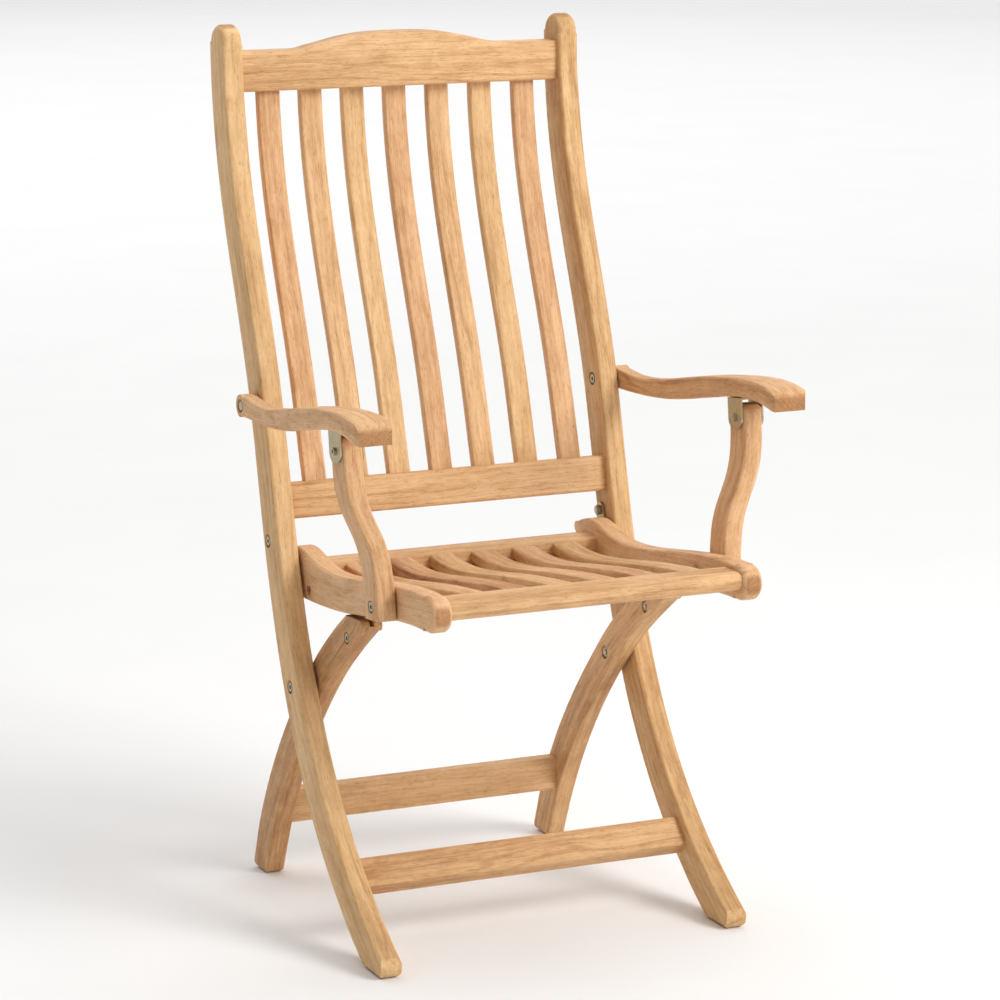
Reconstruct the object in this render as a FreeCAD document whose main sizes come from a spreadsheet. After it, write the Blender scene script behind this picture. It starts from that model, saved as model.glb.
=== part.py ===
import FreeCAD, Part
import os, math
from FreeCAD import Vector, Placement, Rotation

# Folding carver chair in hardwood: a curved back frame that runs down to the front
# feet, a pair of rear legs crossing it, a slatted seat hung from steel plates at its
# rear, and two arms carried by bent supports.  Millimetres, +Z up, the sitter faces -Y.

doc = FreeCAD.newDocument("folding_carver")
sheet = doc.addObject("Spreadsheet::Sheet", "Dims")
DIMS = [
    # origin shift along Y that centres the chair over the origin
    ("y_shift", 24.2),
    # stiles: inner face, thickness, side width, edge rounding
    ("stile_in", 217.6), ("stile_thick", 26.8), ("stile_width", 49.5), ("edge_round", 4.0), ("crown_round", 8.0),
    # rear legs
    ("leg_in", 188.0), ("leg_thick", 26.4),
    # seat side rails and boards
    ("rail_in", 188.2), ("rail_thick", 26.0), ("soft_round", 3.0), ("nose_round", 7.5), ("sole_round", 7.0),
    ("seat_slat_wide", 33.0), ("seat_slat_pitch", 57.0), ("seat_slat_thick", 15.0),
    ("slat_round", 2.5),
    # back frame cross members
    ("crest_thick", 38.0), ("crest_rear", 284.5), ("lower_thick", 38.0), ("lower_tall", 45.0),
    ("lower_y", 116.4), ("lower_z", 509.8), ("lower_tilt", 10.0),
    ("back_slat_wide", 29.5), ("back_slat_pitch", 58.7), ("back_slat_thick", 13.0),
    ("front_stretch_tall", 41.5), ("front_stretch_thick", 24.0), ("front_stretch_y", -115.6),
    ("front_stretch_z", 87.0), ("front_stretch_tilt", 46.0),
    ("rear_stretch_tall", 44.0), ("rear_stretch_thick", 22.0), ("rear_stretch_y", 191.0),
    ("rear_stretch_z", 94.6), ("rear_stretch_tilt", 0.0),
    # pivots in the side view
    ("cross_y", 37.5), ("cross_z", 292.0), ("catch_y", -75.0), ("catch_z", 376.0),
    ("seat_piv_y", 107.0), ("seat_piv_z", 463.0), ("arm_piv_y", 138.0), ("arm_piv_z", 630.0),
    ("brk_y", -198.0), ("brk_z", 632.0), ("sup_y", -214.0), ("sup_z", 447.0),
    # arms and supports
    ("arm_in", 246.0), ("arm_out", 294.0), ("sup_depth", 40.0), ("sup_rear", 20.0), ("sup_lean", 4.943),
    ("sup_thick", 25.0), ("sup_foot_in", 215.4), ("ear_thick", 2.2), ("ear_in", 246.8), ("ear_out", 275.2),
    ("ear_wide", 34.0), ("ear_base", 24.2), ("ear_tilt", 6.5),
    # steel plates
    ("plate_thick", 2.6), ("catch_thick", 4.0),
    # fasteners
    ("bolt_r", 4.0), ("run_clear", 0.08), ("head_r", 5.6), ("head_tall", 2.8),
    ("washer_r", 8.2), ("washer_thick", 1.2), ("bore_r", 8.7), ("nut_r", 6.4), ("nut_tall", 4.5),
    ("small_bolt_r", 3.0), ("small_head_r", 4.8), ("screw_r", 2.2), ("screw_head_r", 4.0),
    ("dowel_r", 5.0), ("dowel_deep", 18.0), ("sup_slack", 4.2),
]
for i, (alias, value) in enumerate(DIMS, 1):
    sheet.set("A%d" % i, alias)
    sheet.set("B%d" % i, repr(value))
    sheet.setAlias("B%d" % i, alias)
doc.recompute()


def val(alias):
    return float(getattr(sheet, alias))


SH = val("y_shift")
nodes = []


def pt(y, z):
    # side view point, moved to the chair's own origin
    return Vector(y + SH, z, 0)


# ---------------------------------------------------------------- construction helpers
def new_body(label):
    b = doc.addObject("PartDesign::Body", label)
    b.Label = label
    nodes.append(b)
    return b


def origin_plane(b, role):
    for f in b.Origin.OriginFeatures:
        if f.Role == role:
            return f
    raise RuntimeError("no plane " + role)


def new_sketch(b, role, offset=None):
    sk = b.newObject("Sketcher::SketchObject", b.Label + "_sketch")
    sk.AttachmentSupport = [(origin_plane(b, role), "")]
    sk.MapMode = "FlatFace"
    if offset is not None:
        sk.setExpression("AttachmentOffset.Base.z", offset)
    return sk


def spline(points):
    c = Part.BSplineCurve()
    c.interpolate(points)
    return c


def spline_to(points, start, end):
    # smooth edge with given directions at its two ends
    c = Part.BSplineCurve()
    c.interpolate(Points=points, InitialTangent=Vector(start[0], start[1], 0),
                  FinalTangent=Vector(end[0], end[1], 0))
    return c


def unit(a, b):
    d = math.hypot(a, b)
    return (a / d, b / d)


def line(p, q):
    return Part.LineSegment(p, q)


def arc(p, m, q):
    return Part.Arc(p, m, q)


def pad(b, sk, length):
    f = b.newObject("PartDesign::Pad", b.Label + "_pad")
    f.Profile = sk
    f.setExpression("Length", length)
    doc.recompute()
    return f


def pocket(b, sk, length, reverse=False):
    before = b.Shape.Volume
    f = b.newObject("PartDesign::Pocket", b.Label + "_pocket")
    f.Profile = sk
    f.setExpression("Length", length)
    f.Reversed = reverse
    doc.recompute()
    if not b.Shape.Volume < before - 0.5:
        raise RuntimeError("pocket cut nothing in " + b.Label)
    return f


def fillet(b, radius, pick):
    doc.recompute()
    base = b.Tip
    names = ["Edge%d" % (i + 1) for i, e in enumerate(base.Shape.Edges) if pick(e)]
    f = b.newObject("PartDesign::Fillet", b.Label + "_round")
    f.Base = (base, names)
    f.setExpression("Radius", radius)
    doc.recompute()
    lost = base.Shape.Volume - f.Shape.Volume
    due = 0.2146 * float(f.Radius) ** 2 * sum(base.Shape.Edges[int(n[4:]) - 1].Length for n in names)
    if f.Shape.isNull() or not f.Shape.isValid() or not 0.35 * due < lost < 1.6 * due:
        raise RuntimeError("rounding failed in %s: %.0f of %.0f" % (b.Label, lost, due))
    return f


def edge_at(e, axis, value, tol=0.02):
    # every point of the edge lies on the plane axis = value
    ps = e.discretize(5)
    return all(abs(p[axis] - value) < tol for p in ps)


def span(s, lo, hi):
    # expressions for a member on the right (s = 1) or left (s = -1): low end, high end, length
    if s > 0:
        return lo, hi, "(%s) - (%s)" % (hi, lo)
    return "-(%s)" % hi, "-(%s)" % lo, "(%s) - (%s)" % (hi, lo)


def bore(b, circles, hi, length):
    # round holes along X, cut from the plane x = hi towards -X
    sk = new_sketch(b, "YZ_Plane", hi)
    for y, z, r in circles:
        sk.addGeometry(Part.Circle(pt(y, z), Vector(0, 0, 1), r), False)
    return pocket(b, sk, length)


def side_member(label, s, segments, lo, hi, radius=None, crown=None):
    # outline drawn in the side view and given its thickness along X, with rounded long edges
    b = new_body(label)
    low, high, length = span(s, lo, hi)
    sk = new_sketch(b, "YZ_Plane", low)
    for g in segments:
        sk.addGeometry(g, False)
    p = pad(b, sk, length)
    bb = p.Shape.BoundBox
    if crown:
        # domed top, rounded more than the long edges
        fillet(b, crown, lambda e: (edge_at(e, 0, bb.XMin) or edge_at(e, 0, bb.XMax)) and e.Length < 200
               and e.CenterOfMass.z > 1000)
    if radius:
        fillet(b, radius, lambda e: (edge_at(e, 0, bb.XMin) or edge_at(e, 0, bb.XMax)) and e.Length > 200)
    return b


def round_sole(b, s, x_in, x_out):
    # both side edges of a foot's sole rounded off, seen from the front
    r = val("sole_round")
    sk = new_sketch(b, "XZ_Plane", "400")
    a, z = sorted([s * x_in, s * x_out])
    for xf, d in ((a, -1), (z, 1)):
        k = r * (1 - math.sqrt(0.5))
        q = [Vector(xf - d * r, -2.0, 0), Vector(xf + d * 2.0, -2.0, 0), Vector(xf + d * 2.0, r, 0),
             Vector(xf, r, 0), Vector(xf - d * r, 0, 0)]
        for i in range(3):
            sk.addGeometry(line(q[i], q[i + 1]), False)
        sk.addGeometry(arc(q[3], Vector(xf - d * k, k, 0), q[4]), False)
        sk.addGeometry(line(q[4], q[0]), False)
    return pocket(b, sk, "800")


def rounded_section(w, t, r, cy, cz, tilt):
    # rounded rectangle in the side view: t wide, w tall, turned by tilt degrees
    a = math.radians(tilt)

    def q(u, v):
        return pt(cy + u * math.cos(a) - v * math.sin(a), cz + u * math.sin(a) + v * math.cos(a))
    x, y = t / 2.0, w / 2.0
    k = r * (1 - math.sqrt(0.5))
    return [
        line(q(-x + r, -y), q(x - r, -y)), arc(q(x - r, -y), q(x - k, -y + k), q(x, -y + r)),
        line(q(x, -y + r), q(x, y - r)), arc(q(x, y - r), q(x - k, y - k), q(x - r, y)),
        line(q(x - r, y), q(-x + r, y)), arc(q(-x + r, y), q(-x + k, y - k), q(-x, y - r)),
        line(q(-x, y - r), q(-x, -y + r)), arc(q(-x, -y + r), q(-x + k, -y + k), q(-x + r, -y)),
    ]


def cylinder(name, x, y, z, r, length, flip=False):
    # plain cylinder along X, all sizes and its place bound to the sheet
    c = doc.addObject("Part::Cylinder", name)
    c.setExpression("Radius", r)
    c.setExpression("Height", length)
    c.Placement = Placement(Vector(0, 0, 0), Rotation(Vector(0, 1, 0), -90 if flip else 90))
    c.setExpression("Placement.Base.x", x)
    c.setExpression("Placement.Base.y", "%s + Dims.y_shift" % y)
    c.setExpression("Placement.Base.z", z)
    return c


def hex_prism(name, x, y, z, across, length, flip=False):
    c = doc.addObject("Part::Prism", name)
    c.Polygon = 6
    c.setExpression("Circumradius", across)
    c.setExpression("Height", length)
    c.Placement = Placement(Vector(0, 0, 0), Rotation(Vector(0, 1, 0), -90 if flip else 90))
    c.setExpression("Placement.Base.x", x)
    c.setExpression("Placement.Base.y", "%s + Dims.y_shift" % y)
    c.setExpression("Placement.Base.z", z)
    return c


def fuse(name, parts):
    f = doc.addObject("Part::MultiFuse", name)
    f.Shapes = parts
    return f


def cut(name, base, tool):
    f = doc.addObject("Part::Cut", name)
    f.Base = base
    f.Tool = tool
    return f


def group(label, parts):
    g = doc.addObject("Part::Compound", label)
    g.Label = label
    g.Links = parts
    nodes.append(g)
    return g


def socket_bolt(name, s, x, y, z, r, length, head_r, head_tall, inward=1):
    # cap bolt along X with a hexagon socket; x is the seat of the head, the shank runs
    # towards the chair's middle (inward = 1) or away from it (inward = -1)
    flip = (s * inward) > 0
    away = -1 if flip else 1
    sgn = "" if s > 0 else "-"
    seat = "%s(%s)" % (sgn, x)
    top = "%s %s (%s)" % (seat, "+" if flip else "-", head_tall)
    shank = cylinder(name + "_shank", seat, y, z, r, length, flip)
    head = cylinder(name + "_head", seat, y, z, head_r, head_tall, not flip)
    sock = hex_prism(name + "_socket", top, y, z, "(%s) * 0.55" % head_r, "(%s) * 0.7" % head_tall, flip)
    return cut(name, fuse(name + "_blank", [shank, head]), sock)


def ring(name, s, x, y, z, r_out, r_in, length):
    # washer or plain nut along X starting at x and growing outwards from the chair's middle
    flip = s < 0
    seat = "%s(%s)" % ("" if s > 0 else "-", x)
    return cut(name, cylinder(name + "_disc", seat, y, z, r_out, length, flip),
               cylinder(name + "_eye", seat, y, z, r_in, length, flip))


def hex_nut(name, s, x, y, z, r_out, r_in, length):
    flip = s < 0
    seat = "%s(%s)" % ("" if s > 0 else "-", x)
    return cut(name, hex_prism(name + "_hex", seat, y, z, r_out, length, flip),
               cylinder(name + "_eye", seat, y, z, r_in, length, flip))


SIDES = ((-1, "left"), (1, "right"))
STILE = ("Dims.stile_in", "Dims.stile_in + Dims.stile_thick")
LEG = ("Dims.leg_in", "Dims.leg_in + Dims.leg_thick")
RAIL = ("Dims.rail_in", "Dims.rail_in + Dims.rail_thick")

# pivots as numbers for the side view outlines
CY, CZ = val("cross_y"), val("cross_z")
BY, BZ = val("catch_y"), val("catch_z")
DY, DZ = val("seat_piv_y"), val("seat_piv_z")
GY, GZ = val("arm_piv_y"), val("arm_piv_z")
KY, KZ = val("brk_y"), val("brk_z")
SY, SZ = val("sup_y"), val("sup_z")
RUN = val("bolt_r") + val("run_clear")

# ---------------------------------------------------------------- stiles
# middle line of the stile from the front foot to the top of the back
MID = [(-227.4, 5.6), (-156.2, 53.8), (-91.1, 110.0), (-34.2, 174.6), (13.0, 246.5), (50.5, 323.9),
       (80.2, 404.7), (104.1, 487.3), (125.0, 570.9), (148.2, 653.7), (178.0, 734.5), (210.1, 814.4),
       (238.5, 895.6), (257.5, 979.5), (264.3, 1068.5)]
mid_curve = spline([Vector(y, z, 0) for y, z in MID])


def beside(d, u0=0.0, u1=1.0, n=17):
    # points beside the middle line at the distance d (positive to the rear)
    a, b = mid_curve.FirstParameter, mid_curve.LastParameter
    out = []
    for i in range(n):
        u = a + (b - a) * (u0 + (u1 - u0) * i / (n - 1.0))
        p = mid_curve.value(u)
        t = mid_curve.tangent(u)[0]
        out.append((p.x + t.y * d, p.y - t.x * d))
    return out


def mid_at(z):
    # place and direction on the middle line at the height z
    a, b = mid_curve.FirstParameter, mid_curve.LastParameter
    for _ in range(60):
        m = (a + b) / 2.0
        if mid_curve.value(m).y < z:
            a = m
        else:
            b = m
    return a


HW = val("stile_width") / 2.0


def mid_dir(f):
    a, b = mid_curve.FirstParameter, mid_curve.LastParameter
    d = mid_curve.tangent(a + (b - a) * f)[0]
    return (d.x, d.y)


# rounded toe, front edge, domed top, rear edge down to the heel
TOE_R = 14.0
d0, d1 = mid_dir(0.0), mid_dir(1.0)
front = beside(-HW, 0.0, 1.0, 17)
front[0] = (front[0][0] - 3.0 * d0[0], front[0][1] - 3.0 * d0[1])
rear = [p for p in beside(HW, 0.0, 1.0, 17) if p[1] > 25.0]
rear_foot = (-191.0, 0.0)
toe_c = (front[0][0] + TOE_R * d0[1], front[0][1] - TOE_R * d0[0])
toe_floor = (toe_c[0] - math.sqrt(TOE_R ** 2 - toe_c[1] ** 2), 0.0)
top_mid = ((front[-1][0] + rear[-1][0]) / 2.0 + 21.5 * d1[0], (front[-1][1] + rear[-1][1]) / 2.0 + 21.5 * d1[1])
stile_outline = [
    line(pt(*rear_foot), pt(*toe_floor)),
    arc(pt(*toe_floor), pt(toe_c[0] - TOE_R + 1.2, toe_c[1] + 1.0), pt(*front[0])),
    spline_to([pt(*p) for p in front], d0, d1),
    arc(pt(*front[-1]), pt(*top_mid), pt(*rear[-1])),
    spline_to([pt(*p) for p in reversed(rear)] + [pt(*rear_foot)], (-d1[0], -d1[1]),
              unit(rear_foot[0] - rear[0][0], rear_foot[1] - rear[0][1])),
]
dowel_r = val("dowel_r")


def turned(cy, cz, du, dv, tilt):
    a = math.radians(tilt)
    return (cy + du * math.cos(a) - dv * math.sin(a), cz + du * math.sin(a) + dv * math.cos(a))


crest_mid = val("crest_rear") - val("crest_thick") / 2.0
BACK_DOWELS = [(crest_mid, 1018.0), (crest_mid, 1043.0)]
BACK_DOWELS += [turned(val("lower_y"), val("lower_z"), 0, v, -val("lower_tilt")) for v in (-12, 12)]
BACK_DOWELS += [turned(val("front_stretch_y"), val("front_stretch_z"), 0, v, -val("front_stretch_tilt"))
                for v in (-11, 11)]
LEG_DOWELS = [turned(val("rear_stretch_y"), val("rear_stretch_z"), 0, v, -val("rear_stretch_tilt"))
              for v in (-12, 12)]
RAIL_DOWELS = [(-310.0, 459.5), (-298.0, 459.5), (76.0, 430.5), (94.0, 431.5)]

for s, side in SIDES:
    b = side_member(side + "_stile", s, stile_outline, STILE[0], STILE[1], "Dims.edge_round", "Dims.crown_round")
    round_sole(b, s, val("stile_in"), val("stile_in") + val("stile_thick"))
    lo, hi, length = span(s, *STILE)
    # through holes for the three pivot bolts, counterbores for their heads
    bore(b, [(CY, CZ, val("bolt_r") + 0.02), (DY, DZ, val("bolt_r") + 0.02),
             (GY, GZ, val("bolt_r") + 0.02)], hi + " + 1", length + " + 2")
    deep = "Dims.head_tall + Dims.washer_thick + 0.4"
    if s > 0:
        bore(b, [(CY, CZ, val("bore_r")), (DY, DZ, val("bore_r"))], hi, deep)
        bore(b, [(GY, GZ, val("bore_r"))], lo + " + " + deep, deep)
        bore(b, [(y, z, dowel_r) for y, z in BACK_DOWELS], lo + " + Dims.dowel_deep", "Dims.dowel_deep")
    else:
        bore(b, [(CY, CZ, val("bore_r")), (DY, DZ, val("bore_r"))], lo + " + " + deep, deep)
        bore(b, [(GY, GZ, val("bore_r"))], hi, deep)
        bore(b, [(y, z, dowel_r) for y, z in BACK_DOWELS], hi, "Dims.dowel_deep")

# ---------------------------------------------------------------- back frame cross members
def drill_ends(b, holes, face):
    # dowel holes in both ends of a cross member that spans between the faces at +-face
    bore(b, [(y, z, dowel_r) for y, z in holes], face, "Dims.dowel_deep")
    bore(b, [(y, z, dowel_r) for y, z in holes], "-%s + Dims.dowel_deep" % face, "Dims.dowel_deep")


# crest rail with its long ogee
b = new_body("crest_rail")
sk = new_sketch(b, "XZ_Plane", "-(Dims.crest_rear + Dims.y_shift)")
W = val("stile_in")
ogee = [(-150, 1056), (-128, 1058.2), (-100, 1064.5), (-70, 1070.8), (-38, 1074.2), (0, 1075),
        (38, 1074.2), (70, 1070.8), (100, 1064.5), (128, 1058.2), (150, 1056)]
sk.addGeometry(line(Vector(-W, 1006, 0), Vector(W, 1006, 0)), False)
sk.addGeometry(line(Vector(W, 1006, 0), Vector(W, 1056, 0)), False)
sk.addGeometry(line(Vector(W, 1056, 0), Vector(150, 1056, 0)), False)
c = Part.BSplineCurve()
c.interpolate(Points=[Vector(x, z, 0) for x, z in reversed(ogee)],
              InitialTangent=Vector(-1, 0, 0), FinalTangent=Vector(-1, 0, 0))
sk.addGeometry(c, False)
sk.addGeometry(line(Vector(-150, 1056, 0), Vector(-W, 1056, 0)), False)
sk.addGeometry(line(Vector(-W, 1056, 0), Vector(-W, 1006, 0)), False)
pad(b, sk, "Dims.crest_thick")
bb = b.Shape.BoundBox
fillet(b, "Dims.edge_round", lambda e: (edge_at(e, 1, bb.YMin) or edge_at(e, 1, bb.YMax))
       and not edge_at(e, 0, bb.XMin) and not edge_at(e, 0, bb.XMax))
drill_ends(b, BACK_DOWELS[0:2], "Dims.stile_in")


def cross_member(label, section, face, holes):
    b = new_body(label)
    sk = new_sketch(b, "YZ_Plane", "-%s" % face)
    for g in section:
        sk.addGeometry(g, False)
    pad(b, sk, "2 * %s" % face)
    drill_ends(b, holes, face)
    return b


cross_member("lower_back_rail",
             rounded_section(val("lower_tall"), val("lower_thick"), 4.0, val("lower_y"), val("lower_z"),
                             -val("lower_tilt")),
             "Dims.stile_in", [turned(val("lower_y"), val("lower_z"), 0, v, -val("lower_tilt"))
                               for v in (-12, 12)])
cross_member("front_stretcher",
             rounded_section(val("front_stretch_tall"), val("front_stretch_thick"), 3.5,
                             val("front_stretch_y"), val("front_stretch_z"), -val("front_stretch_tilt")),
             "Dims.stile_in", BACK_DOWELS[4:6])

# back slats: follow the stile's middle line between the lower rail and the crest rail
lower_a = math.radians(val("lower_tilt"))
slat_lo = val("lower_z") + val("lower_tall") / 2.0 * math.cos(lower_a)
u0 = mid_at(slat_lo - 1.2)
u1 = mid_at(1006.0)
ht = val("back_slat_thick") / 2.0
# the slats stand on a shallow arc in plan, the middle one furthest to the rear, and bow
# a little to the rear between the rails
SET_BACK = [5.5, 10.5, 14.0, 15.3, 14.0, 10.5, 5.5]
BOW = 6.0


def slat_side(set_back, half):
    out = []
    for j in range(11):
        g = j / 10.0
        u = u0 + (u1 - u0) * g
        p, t = mid_curve.value(u), mid_curve.tangent(u)[0]
        d = set_back + half + BOW * 4.0 * g * (1.0 - g)
        out.append((p.x + t.y * d, p.y - t.x * d))
    return out


def cap_low(p):
    # lower slat end lies on the tilted top face of the lower rail
    top_c = turned(val("lower_y"), val("lower_z"), 0, val("lower_tall") / 2.0, -val("lower_tilt"))
    return (p[0], top_c[1] - (p[0] - top_c[0]) * math.tan(lower_a))


for i in range(7):
    sf, sr = slat_side(SET_BACK[i], -ht), slat_side(SET_BACK[i], ht)
    sf[0], sr[0] = cap_low(sf[0]), cap_low(sr[0])
    sf[-1], sr[-1] = (sf[-1][0], 1006.0), (sr[-1][0], 1006.0)
    slat_outline = [spline([pt(*p) for p in sf]), line(pt(*sf[-1]), pt(*sr[-1])),
                    spline([pt(*p) for p in reversed(sr)]), line(pt(*sr[0]), pt(*sf[0]))]
    b = new_body("back_slat_%d" % (i + 1))
    sk = new_sketch(b, "YZ_Plane", "Dims.back_slat_pitch * %d - Dims.back_slat_wide / 2" % (i - 3))
    for g in slat_outline:
        sk.addGeometry(g, False)
    pad(b, sk, "Dims.back_slat_wide")
    bb = b.Shape.BoundBox
    fillet(b, "Dims.slat_round", lambda e: (edge_at(e, 0, bb.XMin) or edge_at(e, 0, bb.XMax))
           and e.Length > 100)

# ---------------------------------------------------------------- rear legs
leg_rear = [(-69.2, 403.5), (-58.0, 396.1), (-41.7, 385.3), (-25.3, 373.4), (5.2, 349.9), (30.4, 328.4),
            (62.9, 295.8), (102.4, 253.1), (140.0, 208.4), (174.7, 161.6), (205.7, 112.4), (232.0, 60.7), (249.6, 14.0)]
leg_front = [(207.2, 4.3), (200.4, 20.6), (171.9, 81.9), (137.9, 140.0), (98.9, 194.9), (55.2, 246.6),
             (7.4, 295.0), (-44.2, 339.2), (-80.0, 365.4), (-104.0, 382.0), (-121.0, 393.4)]
heel_d = unit(0.36, -0.93)
# head: an arc that leaves the front edge and runs into the straight top
top_d = unit(47.6, -2.7)
head_d = unit(-17.0, 11.4)
HEAD_R = 7.0
head_c = (-121.0 + HEAD_R * head_d[1], 393.4 - HEAD_R * head_d[0])
head_end = (head_c[0] - HEAD_R * top_d[1], head_c[1] + HEAD_R * top_d[0])
head_m = unit((-121.0 - head_c[0]) + (head_end[0] - head_c[0]), (393.4 - head_c[1]) + (head_end[1] - head_c[1]))
head_mid = (head_c[0] + (HEAD_R + 0.8) * head_m[0], head_c[1] + (HEAD_R + 0.8) * head_m[1])
top_rear = (head_end[0] + 47.6 * top_d[0], head_end[1] + 47.6 * top_d[1])
leg_rear[0] = top_rear
leg_outline = [
    spline_to([pt(*p) for p in leg_rear], unit(0.84, -0.55), heel_d),
    line(pt(*leg_rear[-1]), pt(247.35, 5.26)),
    arc(pt(247.35, 5.26), pt(244.6, 1.8), pt(240.6, 0.0)),
    line(pt(240.6, 0), pt(213.7, 0)),
    arc(pt(213.7, 0.0), pt(210.1, 1.55), pt(207.2, 4.3)),
    spline_to([pt(*p) for p in leg_front], unit(-0.39, 0.92), head_d),
    arc(pt(-121.0, 393.4), pt(*head_mid), pt(*head_end)),
    line(pt(*head_end), pt(*top_rear)),
]
# slot in the leg head for the catch plate that hangs from the seat rail
leg_slot = [(-72.0, 425.0), (-72.0, 391.0), (-70.0, 379.0), (-70.0, 361.2), (-96.5, 379.8),
            (-125.0, 399.8), (-150.0, 417.5), (-150.0, 425.0)]


def polygon(sk, points):
    n = len(points)
    for i in range(n):
        sk.addGeometry(line(pt(*points[i]), pt(*points[(i + 1) % n])), False)


for s, side in SIDES:
    b = side_member(side + "_rear_leg", s, leg_outline, LEG[0], LEG[1], "Dims.edge_round")
    round_sole(b, s, val("leg_in"), val("leg_in") + val("leg_thick"))
    lo, hi, length = span(s, *LEG)
    bore(b, [(CY, CZ, RUN), (BY, BZ, val("small_bolt_r") + 0.02)], hi + " + 1", length + " + 2")
    deep = "Dims.head_tall + Dims.washer_thick + 0.4"
    nutd = "Dims.nut_tall + 0.6"
    inner = [(CY, CZ, val("bore_r")), (BY, BZ, val("bore_r") - 0.7)]
    if s > 0:
        bore(b, [(BY, BZ, val("bore_r") - 0.7)], hi, deep)
        bore(b, inner, lo + " + " + nutd, nutd)
        bore(b, [(y, z, dowel_r) for y, z in LEG_DOWELS], lo + " + Dims.dowel_deep", "Dims.dowel_deep")
    else:
        bore(b, [(BY, BZ, val("bore_r") - 0.7)], lo + " + " + deep, deep)
        bore(b, inner, hi, nutd)
        bore(b, [(y, z, dowel_r) for y, z in LEG_DOWELS], hi, "Dims.dowel_deep")
    mid = "(Dims.leg_in + Dims.leg_thick / 2)"
    sk = new_sketch(b, "YZ_Plane", "%s%s + Dims.catch_thick / 2 + 0.8" % ("" if s > 0 else "-", mid))
    polygon(sk, leg_slot)
    pocket(b, sk, "Dims.catch_thick + 1.6")

cross_member("rear_stretcher",
             rounded_section(val("rear_stretch_tall"), val("rear_stretch_thick"), 3.5, val("rear_stretch_y"),
                             val("rear_stretch_z"), -val("rear_stretch_tilt")),
             "Dims.leg_in", LEG_DOWELS)

# ---------------------------------------------------------------- seat
rail_bottom = [(84.0, 394.6), (50.0, 395.6), (18.0, 397.2), (-47.0, 402.4), (-110.0, 411.4), (-174.0, 421.6),
               (-234.0, 430.4), (-272.0, 433.8), (-294.0, 434.8), (-311.0, 435.2)]
rail_top = [(-310.0, 476.8), (-281.0, 476.2), (-230.0, 472.0), (-175.0, 465.0), (-110.0, 455.0), (-70.0, 449.2),
            (-45.0, 446.4), (-20.0, 444.8), (0.0, 444.8), (18.0, 446.4), (35.0, 449.2), (52.0, 453.0),
            (68.0, 456.2), (82.0, 457.4), (96.0, 456.0), (111.0, 452.0), (122.0, 447.8)]
nose = [(-311.0, 435.2), (-337.5, 456.0), (-310.0, 476.8)]
nose_arc = Part.Circle(*[Vector(y, z, 0) for y, z in nose])
rail_outline = [
    spline([pt(*p) for p in rail_bottom]),
    arc(*[pt(*p) for p in nose]),
    spline([pt(*p) for p in rail_top]),
    arc(pt(122.0, 447.8), pt(127.6, 442.4), pt(125.6, 435.6)),
    line(pt(125.6, 435.6), pt(84.0, 394.6)),
]
# steel catch plate: root in the rail, hook in front of the leg head bolt
hook_r = val("small_bolt_r") + 0.45


def on_hook(deg, r=hook_r):
    return (BY + r * math.cos(math.radians(deg)), BZ + r * math.sin(math.radians(deg)))


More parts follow.
